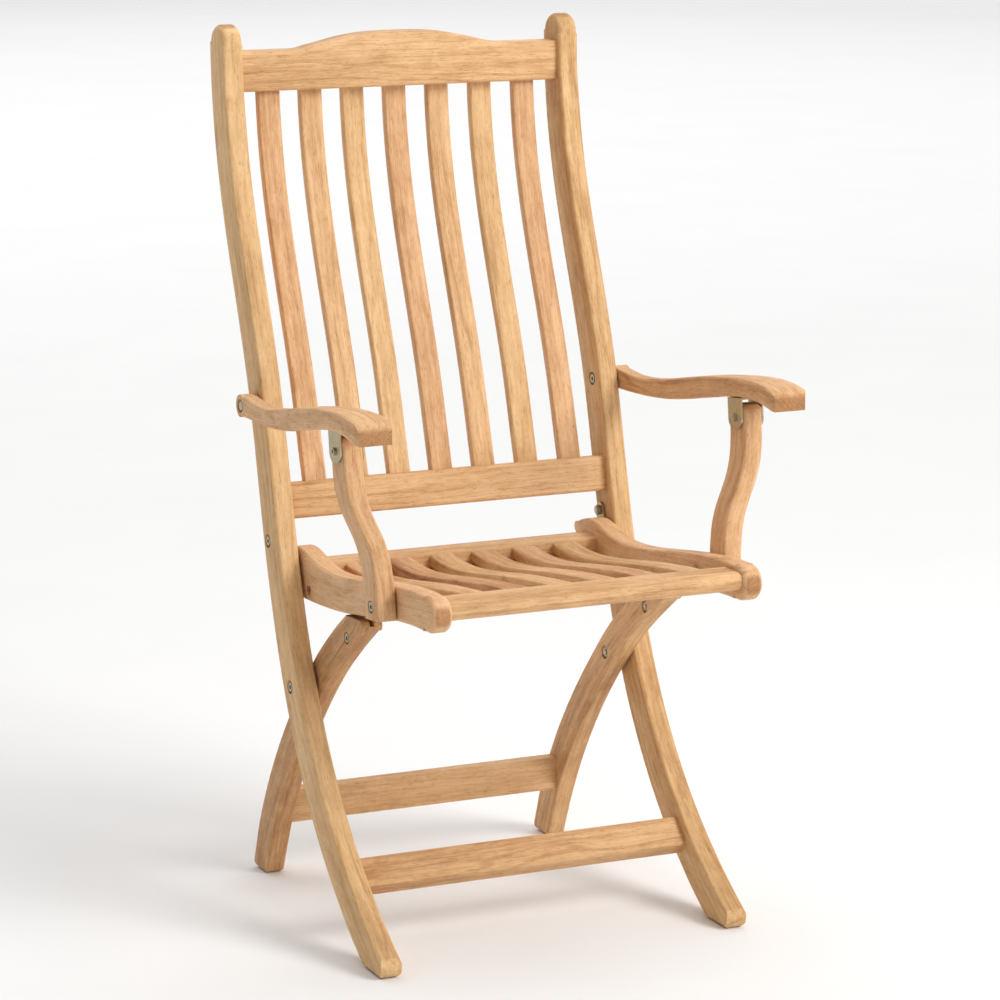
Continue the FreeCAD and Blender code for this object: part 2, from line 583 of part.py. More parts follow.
catch_pts = [(-75.0, 424.0), (-104.0, 430.0), (-104.0, 400.0), (-88.0, 378.0), (-82.0, 371.5)]
catch_end = [(-75.0, 391.0)]
rail_slot = [(-74.9, 380.0), (-74.9, 424.1), (-104.1, 430.1), (-104.1, 380.0)]
PINS = [(-82.0, 416.0), (-97.0, 419.5)]
EY, EZ = 47.0, 410.0
for s, side in SIDES:
    b = side_member(side + "_seat_rail", s, rail_outline, RAIL[0], RAIL[1], "Dims.edge_round")
    lo, hi, length = span(s, *RAIL)
    # both edges of the nose rounded off about its own centre
    sk = new_sketch(b, "XY_Plane")
    sk.AttachmentOffset = Placement(Vector(0, nose_arc.Center.x + SH, nose_arc.Center.y), Rotation())
    rn, rc = nose_arc.Radius, val("nose_round")
    ends = sorted([s * val("rail_in"), s * (val("rail_in") + val("rail_thick"))])
    for xf, d in ((ends[0], -1), (ends[1], 1)):
        k = rc * (1 - math.sqrt(0.5))
        q = [Vector(xf - d * rc, -rn - 4.0, 0), Vector(xf + d * 1.5, -rn - 4.0, 0), Vector(xf + d * 1.5, -rn + rc, 0),
             Vector(xf, -rn + rc, 0), Vector(xf - d * rc, -rn, 0)]
        for i in range(3):
            sk.addGeometry(line(q[i], q[i + 1]), False)
        sk.addGeometry(arc(q[3], Vector(xf - d * k, -rn + k, 0), q[4]), False)
        sk.addGeometry(line(q[4], q[0]), False)
    before = b.Shape.Volume
    gr = b.newObject("PartDesign::Groove", b.Label + "_nose_round")
    gr.Profile = sk
    gr.ReferenceAxis = (sk, ["H_Axis"])
    gr.Angle = 221.0
    gr.Midplane = True
    doc.recompute()
    if not 200.0 < before - b.Shape.Volume < 3500.0:
        raise RuntimeError("nose rounding failed: %.0f" % (before - b.Shape.Volume))
    # support bolt passes with slack, the batten screw sits in a deep counterbore
    bore(b, [(SY, SZ, val("small_bolt_r") + val("sup_slack")), (EY, EZ, val("screw_r") + 0.02)],
         hi + " + 1", length + " + 2")
    plate_holes = [(103.0, 439.0, val("screw_r") + 0.02), (98.5, 421.0, val("screw_r") + 0.02)]
    pins = [(y, z, val("screw_r") + 0.02) for y, z in PINS]
    if s > 0:
        bore(b, [(EY, EZ, 6.6)], hi, "7")
        bore(b, plate_holes, hi, "20")
        bore(b, pins, lo + " + 20", "20")
        bore(b, [(y, z, 4.0) for y, z in RAIL_DOWELS], lo + " + 14", "14")
    else:
        bore(b, [(EY, EZ, 6.6)], lo + " + 7", "7")
        bore(b, plate_holes, lo + " + 20", "20")
        bore(b, pins, hi, "20")
        bore(b, [(y, z, 4.0) for y, z in RAIL_DOWELS], hi, "14")
    mid = "(Dims.leg_in + Dims.leg_thick / 2)"
    sk = new_sketch(b, "YZ_Plane", "%s%s + Dims.catch_thick / 2" % ("" if s > 0 else "-", mid))
    polygon(sk, rail_slot)
    pocket(b, sk, "Dims.catch_thick")

    c = new_body(side + "_catch_plate")
    sk = new_sketch(c, "YZ_Plane", "%s%s - Dims.catch_thick / 2" % ("" if s > 0 else "-", mid))
    chain = catch_pts + [on_hook(220)]
    for i in range(len(chain) - 1):
        sk.addGeometry(line(pt(*chain[i]), pt(*chain[i + 1])), False)
    sk.addGeometry(arc(pt(*on_hook(220)), pt(*on_hook(140)), pt(*on_hook(60))), False)
    chain = [on_hook(60)] + catch_end + [catch_pts[0]]
    for i in range(len(chain) - 1):
        sk.addGeometry(line(pt(*chain[i]), pt(*chain[i + 1])), False)
    pad(c, sk, "Dims.catch_thick")
    bore(c, pins,
         "%s%s + Dims.catch_thick / 2 + 1" % ("" if s > 0 else "-", mid), "Dims.catch_thick + 2")

    # steel plate that hangs the rear of the seat on the stile
    p = new_body(side + "_seat_plate")
    lo2, hi2, len2 = span(s, RAIL[1], RAIL[1] + " + Dims.plate_thick")
    sk = new_sketch(p, "YZ_Plane", lo2)
    ey, ez = 97.0, 417.5
    L = math.hypot(DY - ey, DZ - ez)
    nx, nz = (DZ - ez) / L, -(DY - ey) / L
    R = 10.0
    a1, a2 = (DY - nx * R, DZ - nz * R), (DY + nx * R, DZ + nz * R)
    b1, b2 = (ey - nx * R, ez - nz * R), (ey + nx * R, ez + nz * R)
    ux, uz = (DY - ey) / L, (DZ - ez) / L
    sk.addGeometry(line(pt(*b2), pt(*a2)), False)
    sk.addGeometry(arc(pt(*a2), pt(DY + ux * R, DZ + uz * R), pt(*a1)), False)
    sk.addGeometry(line(pt(*a1), pt(*b1)), False)
    sk.addGeometry(arc(pt(*b1), pt(ey - ux * R, ez - uz * R), pt(*b2)), False)
    pad(p, sk, len2)
    bore(p, [(DY, DZ, RUN), (103.0, 439.0, val("screw_head_r") + 0.02),
             (98.5, 421.0, val("screw_head_r") + 0.02)], hi2 + " + 1", len2 + " + 2")

# front rail: bull-nosed board
front_rail = [
    line(pt(-289.0, 449.5), pt(-319.0, 448.0)),
    arc(pt(-319.0, 448.0), pt(-331.0, 458.5), pt(-320.0, 470.2)),
    line(pt(-320.0, 470.2), pt(-289.0, 470.6)),
    line(pt(-289.0, 470.6), pt(-289.0, 449.5)),
]
RAIL_HALF = "Dims.rail_in"


def seat_board(label, outline, holes):
    b = new_body(label)
    sk = new_sketch(b, "YZ_Plane", "-%s" % RAIL_HALF)
    for g in outline:
        sk.addGeometry(g, False)
    pad(b, sk, "2 * %s" % RAIL_HALF)
    bore(b, [(y, z, 4.0) for y, z in holes], RAIL_HALF, "14")
    bore(b, [(y, z, 4.0) for y, z in holes], "-%s + 14" % RAIL_HALF, "14")
    return b


seat_board("seat_front_rail", front_rail, RAIL_DOWELS[0:2])
rear_rail = [
    line(pt(62.0, 414.6), pt(62.0, 435.8)),
    spline([pt(62.0, 435.8), pt(76.0, 437.8), pt(92.0, 438.8), pt(101.0, 437.8)]),
    arc(pt(101.0, 437.8), pt(106.5, 430.0), pt(101.5, 421.4)),
    line(pt(101.5, 421.4), pt(62.0, 414.6)),
]
seat_board("seat_rear_rail", rear_rail, RAIL_DOWELS[2:4])

# seat slats, dished from front to rear
slat_top = [(62.0, 435.4), (40.0, 433.4), (10.0, 432.8), (-25.0, 434.6), (-60.0, 438.6), (-110.0, 446.2),
            (-165.0, 455.0), (-220.0, 462.6), (-262.0, 467.4), (-289.0, 470.0)]
tt = val("seat_slat_thick")
slat_low = [(y, z - tt) for y, z in slat_top]
seat_slat_outline = [spline([pt(*p) for p in slat_top]), line(pt(*slat_top[-1]), pt(*slat_low[-1])),
                     spline([pt(*p) for p in reversed(slat_low)]), line(pt(*slat_low[0]), pt(*slat_top[0]))]
for i in range(6):
    b = new_body("seat_slat_%d" % (i + 1))
    sk = new_sketch(b, "YZ_Plane", "Dims.seat_slat_pitch * %s - Dims.seat_slat_wide / 2" % (i - 2.5))
    for g in seat_slat_outline:
        sk.addGeometry(g, False)
    pad(b, sk, "Dims.seat_slat_wide")
    bb = b.Shape.BoundBox
    fillet(b, "Dims.soft_round", lambda e: (edge_at(e, 0, bb.XMin) or edge_at(e, 0, bb.XMax))
           and e.Length > 100)

# batten under the slats, screwed through the side rails
b = new_body("seat_batten")
sk = new_sketch(b, "YZ_Plane", "-%s" % RAIL_HALF)
for g in rounded_section(17.0, 29.4, 2.0, EY, EZ - 0.6, 0):
    sk.addGeometry(g, False)
pad(b, sk, "2 * %s" % RAIL_HALF)
bore(b, [(EY, EZ, val("screw_r") + 0.02)], RAIL_HALF, "36")
bore(b, [(EY, EZ, val("screw_r") + 0.02)], "-%s + 36" % RAIL_HALF, "36")

# ---------------------------------------------------------------- arms
arm_bottom = [(-298.0, 654.6), (-288.0, 656.2), (-266.0, 659.1), (-238.0, 660.35), (-200.0, 657.6), (-164.0, 652.0),
              (-138.0, 647.0), (-111.5, 642.0), (-85.0, 636.7), (-58.0, 631.8), (-31.0, 627.4), (-3.0, 623.8),
              (25.0, 621.0), (53.0, 619.2), (80.0, 618.0), (104.0, 617.2), (132.0, 617.0)]
arm_top = [(132.0, 643.2), (116.0, 642.0), (98.0, 640.6), (76.0, 639.9), (53.0, 641.0), (4.0, 647.6), (-44.0, 656.8),
           (-91.0, 665.6), (-138.0, 673.2), (-183.0, 679.0), (-220.0, 682.4), (-250.0, 683.2), (-276.0, 681.6), (-290.0, 679.2)]
arm_outline = [
    spline([pt(*p) for p in arm_bottom]),
    arc(pt(132.0, 617.0), pt(151.6, 630.0), pt(132.0, 643.2)),
    spline([pt(*p) for p in arm_top]),
    arc(pt(-290.0, 679.2), pt(-295.4, 675.0), pt(-298.8, 669.4)),
    line(pt(-298.8, 669.4), pt(-298.0, 654.6)),
]
# plan of the arm: narrow at the stile, wide at the hand
arm_plan = [(267.0, 170.0), (267.2, 110.0), (269.2, 60.0), (274.0, 5.0), (279.5, -55.0), (284.0, -115.0),
            (287.6, -180.0), (290.6, -236.0), (292.4, -287.0)]
arm_corner = [(292.4, -287.0), (287.2, -299.4), (279.0, -308.0)]
arm_plan_in = [(246.0, 60.0), (246.0, -20.0), (246.0, -100.0), (245.8, -180.0), (244.4, -240.0), (242.8, -287.0)]
arm_corner_in = [(242.8, -287.0), (248.0, -299.4), (256.2, -308.0)]
for s, side in SIDES:
    b = new_body(side + "_arm")
    low, high, length = span(s, "Dims.arm_in - 4", "Dims.arm_out")
    sk = new_sketch(b, "YZ_Plane", low)
    for g in arm_outline:
        sk.addGeometry(g, False)
    pad(b, sk, length)
    # trim to the plan: outside edge, then the inside edge
    for edge, corner, far in ((arm_plan, arm_corner, 320.0), (arm_plan_in, arm_corner_in, 225.0)):
        sk = new_sketch(b, "XY_Plane", "760")
        ps = [Vector(s * x, y + SH, 0) for x, y in edge]
        a, z = ps[0], Vector(s * corner[-1][0], corner[-1][1] + SH, 0)
        sk.addGeometry(spline_to(ps, (0.0, -1.0), unit(s * (edge[-1][0] - edge[-2][0]), edge[-1][1] - edge[-2][1])), False)
        sk.addGeometry(arc(*[Vector(s * x, y + SH, 0) for x, y in corner]), False)
        if far < 240:  # straight part along the stile
            a2 = Vector(s * 246.0, 200.0 + SH, 0)
            sk.addGeometry(line(a2, a), False)
            a = a2
        q = Vector(z.x, -340.0 + SH, 0)
        sk.addGeometry(line(z, q), False)
        r = Vector(s * far, -340.0 + SH, 0)
        t = Vector(s * far, a.y, 0)
        sk.addGeometry(line(q, r), False)
        sk.addGeometry(line(r, t), False)
        sk.addGeometry(line(t, a), False)
        pocket(b, sk, "200")

    def long_edge(e):
        # long top and bottom edges of the arm
        ys = [p.y for p in e.discretize(9)]
        return max(ys) - min(ys) > 100
    fillet(b, "Dims.edge_round", long_edge)
    lo, hi, length = span(s, "Dims.arm_in - 4", "Dims.arm_out")
    bore(b, [(GY, GZ, RUN)], hi + " + 1", length + " + 2")
    if s > 0:
        bore(b, [(GY, GZ, val("bore_r"))], hi + " + 1", "Dims.arm_out - 267 + 6.1")
    else:
        bore(b, [(GY, GZ, val("bore_r"))], "-(267 - 5.1)", "Dims.arm_out - 267 + 6.1")
    # screw holes for the bracket, square to its base
    sk = new_sketch(b, "XY_Plane")
    sk.AttachmentOffset = Placement(Vector(0, KY + SH, KZ), Rotation(Vector(1, 0, 0), -val("ear_tilt")))
    for dy in (-9.0, 9.0):
        sk.addGeometry(Part.Circle(Vector(s * 261.0, dy, 0), Vector(0, 0, 1), val("screw_r") + 0.02), False)
    pocket(b, sk, "Dims.ear_base + 12", True)

# ---------------------------------------------------------------- arm supports, bent in the front view
# inner face of the support above its foot bolt: offset outwards and height
bend = [(-0.3, -16.0), (0.0, 0.0), (1.8, 35.0), (5.2, 59.0), (12.3, 82.0), (22.3, 105.0), (29.7, 128.0),
        (33.2, 152.0), (34.0, 176.0), (34.2, 197.0)]
FOOT, THK = val("sup_foot_in"), val("sup_thick")
LEAN = val("sup_lean")
UP = math.hypot(KY - SY, KZ - SZ)
for s, side in SIDES:
    b = new_body(side + "_arm_support")
    sk = new_sketch(b, "XZ_Plane", "-Dims.sup_rear")

    def fp(x, z):
        return Vector(s * x, z, 0)
    inner = [(FOOT + dx, z) for dx, z in bend]
    outer = [(FOOT + THK + dx, z) for dx, z in bend]
    sk.addGeometry(spline([fp(*p) for p in reversed(outer)]), False)
    sk.addGeometry(line(fp(*outer[0]), fp(*inner[0])), False)
    sk.addGeometry(spline([fp(*p) for p in inner]), False)
    ti, to = (inner[-1][0] + 3.0, inner[-1][1] + 5.0), (outer[-1][0] - 3.0, outer[-1][1] + 5.0)
    sk.addGeometry(line(fp(*inner[-1]), fp(*ti)), False)
    sk.addGeometry(line(fp(*ti), fp(*to)), False)
    sk.addGeometry(line(fp(*to), fp(*outer[-1])), False)
    pad(b, sk, "Dims.sup_depth")
    bb = b.Shape.BoundBox
    fillet(b, "Dims.edge_round", lambda e: (edge_at(e, 1, bb.YMin) or edge_at(e, 1, bb.YMax))
           and e.Length > 40)

    def cross_hole(body, z, r, hi, length):
        sk = new_sketch(body, "YZ_Plane", hi)
        sk.addGeometry(Part.Circle(Vector(0, z, 0), Vector(0, 0, 1), r), False)
        pocket(body, sk, length)
    # top rounded about the bracket bolt so that it turns under the bracket's base
    sk = new_sketch(b, "YZ_Plane", span(s, "210", "290")[1])
    r_top = 20.6

    def tp(y, z):
        return Vector(y, UP + z, 0)
    sk.addGeometry(line(tp(r_top, 0), tp(30, 0)), False)
    sk.addGeometry(line(tp(30, 0), tp(30, 40)), False)
    sk.addGeometry(line(tp(30, 40), tp(-30, 40)), False)
    sk.addGeometry(line(tp(-30, 40), tp(-30, 0)), False)
    sk.addGeometry(line(tp(-30, 0), tp(-r_top, 0)), False)
    sk.addGeometry(arc(tp(-r_top, 0), tp(0, r_top), tp(r_top, 0)), False)
    pocket(b, sk, "80")
    lo, hi, length = span(s, "210", "290")
    cross_hole(b, UP, val("small_bolt_r") + val("run_clear"), hi, length)
    cross_hole(b, 0.0, val("small_bolt_r") + 0.02, hi, length)
    deep = "Dims.head_tall + Dims.washer_thick + 0.4"
    face = "Dims.sup_foot_in + Dims.sup_thick"
    if s > 0:
        cross_hole(b, 0.0, val("bore_r") - 0.7, face + " + 0.2", deep + " + 0.2")
    else:
        cross_hole(b, 0.0, val("bore_r") - 0.7, "-(%s) + %s" % (face, deep), deep + " + 0.2")
    b.Placement = Placement(Vector(0, SY + SH, SZ), Rotation(Vector(1, 0, 0), -LEAN))
    b.setExpression("Placement.Base.y", "Dims.sup_y + Dims.y_shift")
    b.setExpression("Placement.Base.z", "Dims.sup_z")

    # U shaped steel bracket under the arm, tilted to lie along the arm's underside
    u = new_body(side + "_arm_bracket")
    sk = new_sketch(u, "XZ_Plane", "-Dims.ear_wide / 2")
    e1, e2, th, base = val("ear_in"), val("ear_out"), val("ear_thick"), val("ear_base")
    pts = [(e1, -13.0), (e1, base), (e2 + th, base), (e2 + th, -13.0), (e2, -13.0), (e2, base - th),
           (e1 + th, base - th), (e1 + th, -13.0)]
    for i in range(len(pts)):
        p, q = pts[i], pts[(i + 1) % len(pts)]
        sk.addGeometry(line(fp(*p), fp(*q)), False)
    pad(u, sk, "Dims.ear_wide")
    fillet(u, "12", lambda e: abs(e.Vertexes[0].Z + 13.0) < 0.01 and abs(e.Vertexes[-1].Z + 13.0) < 0.01
           and e.Length < 3 and abs(e.Vertexes[0].Y - e.Vertexes[-1].Y) < 0.01)
    cross_hole(u, 0.0, val("small_bolt_r") + 0.02, span(s, "240", "290")[1], "50")
    sk = new_sketch(u, "XY_Plane", "30")
    for dy in (-9.0, 9.0):
        sk.addGeometry(Part.Circle(Vector(s * 261.0, dy, 0), Vector(0, 0, 1), val("screw_head_r") + 0.02), False)
    pocket(u, sk, "10")
    u.Placement = Placement(Vector(0, KY + SH, KZ), Rotation(Vector(1, 0, 0), -val("ear_tilt")))
    u.setExpression("Placement.Base.y", "Dims.brk_y + Dims.y_shift")
    u.setExpression("Placement.Base.z", "Dims.brk_z")

doc.recompute()

# ---------------------------------------------------------------- fasteners
A = ("Dims.cross_y", "Dims.cross_z")
B = ("Dims.catch_y", "Dims.catch_z")
D = ("Dims.seat_piv_y", "Dims.seat_piv_z")
G = ("Dims.arm_piv_y", "Dims.arm_piv_z")
OUT = "Dims.stile_in + Dims.stile_thick"
SEAT_X = OUT + " - Dims.head_tall - 0.4"
acc = {k: [] for k in ("leg_pivot_bolts", "leg_pivot_nuts", "leg_pivot_spacers", "seat_pivot_bolts",
                       "seat_pivot_nuts", "arm_pivot_bolts", "arm_pivot_nuts", "arm_pivot_spacers",
                       "pivot_washers", "catch_bolts", "catch_nuts", "seat_plate_screws", "catch_pins",
                       "batten_screws")}
for s, side in SIDES:
    n = side + "_"
    # crossing bolt: head sunk in the stile, nut sunk in the leg
    acc["leg_pivot_bolts"].append(socket_bolt(n + "cross_bolt", s, SEAT_X, A[0], A[1], "Dims.bolt_r",
                                              SEAT_X + " - Dims.leg_in - 0.2", "Dims.head_r", "Dims.head_tall"))
    acc["leg_pivot_nuts"].append(hex_nut(n + "cross_nut", s, "Dims.leg_in + 1.5", A[0], A[1], "Dims.nut_r",
                                         "Dims.bolt_r", "Dims.nut_tall - 1.5"))
    acc["leg_pivot_spacers"].append(ring(n + "cross_spacer", s, "Dims.leg_in + Dims.leg_thick + 0.5", A[0], A[1],
                                         "11", "Dims.bolt_r", "Dims.stile_in - Dims.leg_in - Dims.leg_thick - 0.5"))
    acc["pivot_washers"].append(ring(n + "cross_washer", s, SEAT_X + " - Dims.washer_thick", A[0], A[1],
                                     "Dims.washer_r", "Dims.bolt_r", "Dims.washer_thick"))
    # seat pivot bolt: through the stile and the hanging plate
    acc["seat_pivot_bolts"].append(socket_bolt(n + "seat_bolt", s, SEAT_X, D[0], D[1], "Dims.bolt_r",
                                               SEAT_X + " - Dims.rail_in - Dims.rail_thick + 5.5",
                                               "Dims.head_r", "Dims.head_tall"))
    acc["seat_pivot_nuts"].append(hex_nut(n + "seat_nut", s, "Dims.rail_in + Dims.rail_thick - 0.3 - Dims.nut_tall",
                                          D[0], D[1], "Dims.nut_r", "Dims.bolt_r", "Dims.nut_tall"))
    acc["pivot_washers"].append(ring(n + "seat_washer", s, SEAT_X + " - Dims.washer_thick", D[0], D[1],
                                     "Dims.washer_r", "Dims.bolt_r", "Dims.washer_thick"))
    # arm pivot bolt: head on the inside of the stile, nut sunk in the arm's rear end
    inner = "Dims.stile_in + Dims.head_tall + 0.4"
    acc["arm_pivot_bolts"].append(socket_bolt(n + "arm_bolt", s, inner, G[0], G[1], "Dims.bolt_r",
                                              "266.4 - (%s)" % inner, "Dims.head_r", "Dims.head_tall", -1))
    acc["arm_pivot_nuts"].append(hex_nut(n + "arm_nut", s, "267 - 4.7", G[0], G[1], "Dims.nut_r", "Dims.bolt_r", "4.1"))
    acc["arm_pivot_spacers"].append(ring(n + "arm_spacer", s, OUT, G[0], G[1], "11", "Dims.bolt_r", "1.2"))
    acc["pivot_washers"].append(ring(n + "arm_washer", s, inner, G[0], G[1], "Dims.washer_r", "Dims.bolt_r",
                                     "Dims.washer_thick"))
    # leg head bolt that the catch plate hooks on
    legx = "Dims.leg_in + Dims.leg_thick - Dims.head_tall - 0.4"
    acc["catch_bolts"].append(socket_bolt(n + "head_bolt", s, legx, B[0], B[1], "Dims.small_bolt_r",
                                          legx + " - Dims.leg_in - 0.2", "Dims.small_head_r + 1", "Dims.head_tall"))
    acc["catch_nuts"].append(hex_nut(n + "head_nut", s, "Dims.leg_in + 1.5", B[0], B[1], "Dims.nut_r - 0.8",
                                     "Dims.small_bolt_r", "Dims.nut_tall - 1.3"))
    # screws of the hanging plate, flush with it
    px = "Dims.rail_in + Dims.rail_thick + Dims.plate_thick"
    sg = "" if s > 0 else "-"
    for k, (y, z) in enumerate(((103.0, 439.0), (98.5, 421.0))):
        acc["seat_plate_screws"].append(fuse("%splate_screw_%d" % (n, k), [
            cylinder("%sps_head_%d" % (n, k), "%s(%s)" % (sg, px), str(y), str(z), "Dims.screw_head_r",
                     "Dims.plate_thick", s > 0),
            cylinder("%sps_shank_%d" % (n, k), "%s(%s)" % (sg, px), str(y), str(z), "Dims.screw_r",
                     "Dims.plate_thick + 18", s > 0)]))
    for k, (y, z) in enumerate(PINS):
        acc["catch_pins"].append(cylinder("%scatch_pin_%d" % (n, k), "%s(Dims.rail_in)" % sg, str(y), str(z),
                                          "Dims.screw_r", "19.6", s < 0))
    acc["batten_screws"].append(fuse(n + "batten_screw", [
        cylinder(n + "bs_head", "%s(Dims.rail_in + Dims.rail_thick - 4)" % sg, str(EY), str(EZ), "5", "3", s > 0),
        cylinder(n + "bs_shank", "%s(Dims.rail_in + Dims.rail_thick - 4)" % sg, str(EY), str(EZ), "Dims.screw_r",
                 "Dims.rail_thick + 26", s > 0)]))
for k, parts in acc.items():
    group(k, parts)

for s, side in SIDES:
    n = side + "_"
    sg = "" if s > 0 else "-"
    # bracket bolt with its nut, and the two screws into the arm
    bolt = socket_bolt(n + "ear_bolt", s, "Dims.ear_out + Dims.ear_thick", "Dims.brk_y", "Dims.brk_z",
                       "Dims.small_bolt_r", "Dims.ear_out + Dims.ear_thick - Dims.ear_in + 3.6",
                       "Dims.small_head_r", "Dims.head_tall")
    nut = hex_nut(n + "ear_nut", s, "Dims.ear_in - 3.2", "Dims.brk_y", "Dims.brk_z", "Dims.nut_r - 1.2",
                  "Dims.small_bolt_r", "3.2")
    screws = []
    tilt = Rotation(Vector(1, 0, 0), -val("ear_tilt"))
    for k, dy in enumerate((-9.0, 9.0)):
        for part, r, start, size in (("head", "Dims.screw_head_r", val("ear_base") - val("ear_thick"), "Dims.ear_thick"),
                                     ("shank", "Dims.screw_r", val("ear_base") - 1.0, "12")):
            c = doc.addObject("Part::Cylinder", "%sarm_screw_%s_%d" % (n, part, k))
            c.setExpression("Radius", r)
            c.setExpression("Height", size)
            c.Placement = Placement(Vector(0, KY + SH, KZ) + tilt.multVec(Vector(s * 261.0, dy, start)), tilt)
            screws.append(c)
    group(side + "_bracket_bolt", [bolt, nut, fuse(n + "arm_screws_a", screws[0:2]),
                                   fuse(n + "arm_screws_b", screws[2:4])])
    # support bolt: head sunk in the support, slack in the seat rail, nut behind the rail
    sx = "Dims.sup_foot_in + Dims.sup_thick - Dims.head_tall - 0.4"
    bolt = socket_bolt(n + "foot_bolt", s, sx, "Dims.sup_y", "Dims.sup_z", "Dims.small_bolt_r",
                       "%s - Dims.rail_in + 4.6" % sx, "Dims.small_head_r + 1", "Dims.head_tall")
    nut = ring(n + "foot_nut", s, "Dims.rail_in - 4.4", "Dims.sup_y", "Dims.sup_z", "9", "Dims.small_bolt_r", "4")
    spacer = ring(n + "foot_spacer", s, "Dims.rail_in + Dims.rail_thick + 0.4", "Dims.sup_y", "Dims.sup_z", "9.5",
                  "Dims.small_bolt_r", "Dims.sup_foot_in - Dims.rail_in - Dims.rail_thick - 0.7")
    group(side + "_support_bolt", [bolt, nut, spacer])

# dowels that hold the cross members
def dowels(label, holes, face, r, deep, both_r=0.04):
    parts = []
    for k, (y, z) in enumerate(holes):
        for s, side in SIDES:
            sg = "" if s > 0 else "-"
            parts.append(cylinder("%s_%s_%d" % (label, side, k), "%s(%s - (%s) + 0.3)" % (sg, face, deep), str(y),
                                  str(z), "%s - %s" % (r, both_r), "2 * (%s) - 0.6" % deep, s < 0))
    return group(label, parts)


low_dowels = [turned(val("lower_y"), val("lower_z"), 0, v, -val("lower_tilt")) for v in (-12, 12)]
dowels("back_frame_dowels", BACK_DOWELS[0:2] + low_dowels + BACK_DOWELS[4:6], "Dims.stile_in", "Dims.dowel_r",
       "Dims.dowel_deep")
dowels("leg_frame_dowels", LEG_DOWELS, "Dims.leg_in", "Dims.dowel_r", "Dims.dowel_deep")
dowels("seat_frame_dowels", RAIL_DOWELS, "Dims.rail_in", "4", "14")

# ---------------------------------------------------------------- checks and export
doc.recompute()
bad = [o.Name for o in doc.Objects if "Invalid" in o.State or "Error" in o.State]
if bad:
    raise RuntimeError("failed objects: " + ", ".join(bad))
for o in nodes:
    if o.Shape.isNull() or not o.Shape.isValid() or not o.Shape.Solids:
        raise RuntimeError("bad shape: " + o.Label)
os.makedirs("parts", exist_ok=True)
box = FreeCAD.BoundBox()
for o in nodes:
    box.add(o.Shape.optimalBoundingBox(False))
    o.Shape.exportStep(os.path.join("parts", o.Label + ".step"))
print(len(nodes), "nodes; box %.2f..%.2f, %.2f..%.2f, %.2f..%.2f" % (box.XMin, box.XMax, box.YMin, box.YMax,
                                                                    box.ZMin, box.ZMax))
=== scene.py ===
import math
import bpy
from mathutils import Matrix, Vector

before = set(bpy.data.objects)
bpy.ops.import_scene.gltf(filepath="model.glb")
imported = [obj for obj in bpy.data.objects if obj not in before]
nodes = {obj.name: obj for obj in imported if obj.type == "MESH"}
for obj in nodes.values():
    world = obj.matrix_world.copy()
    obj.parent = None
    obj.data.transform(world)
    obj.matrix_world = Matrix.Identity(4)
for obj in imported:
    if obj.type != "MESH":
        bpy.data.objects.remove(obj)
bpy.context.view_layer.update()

SH = 0.0242          # shift of the side view points onto the row frame, metres


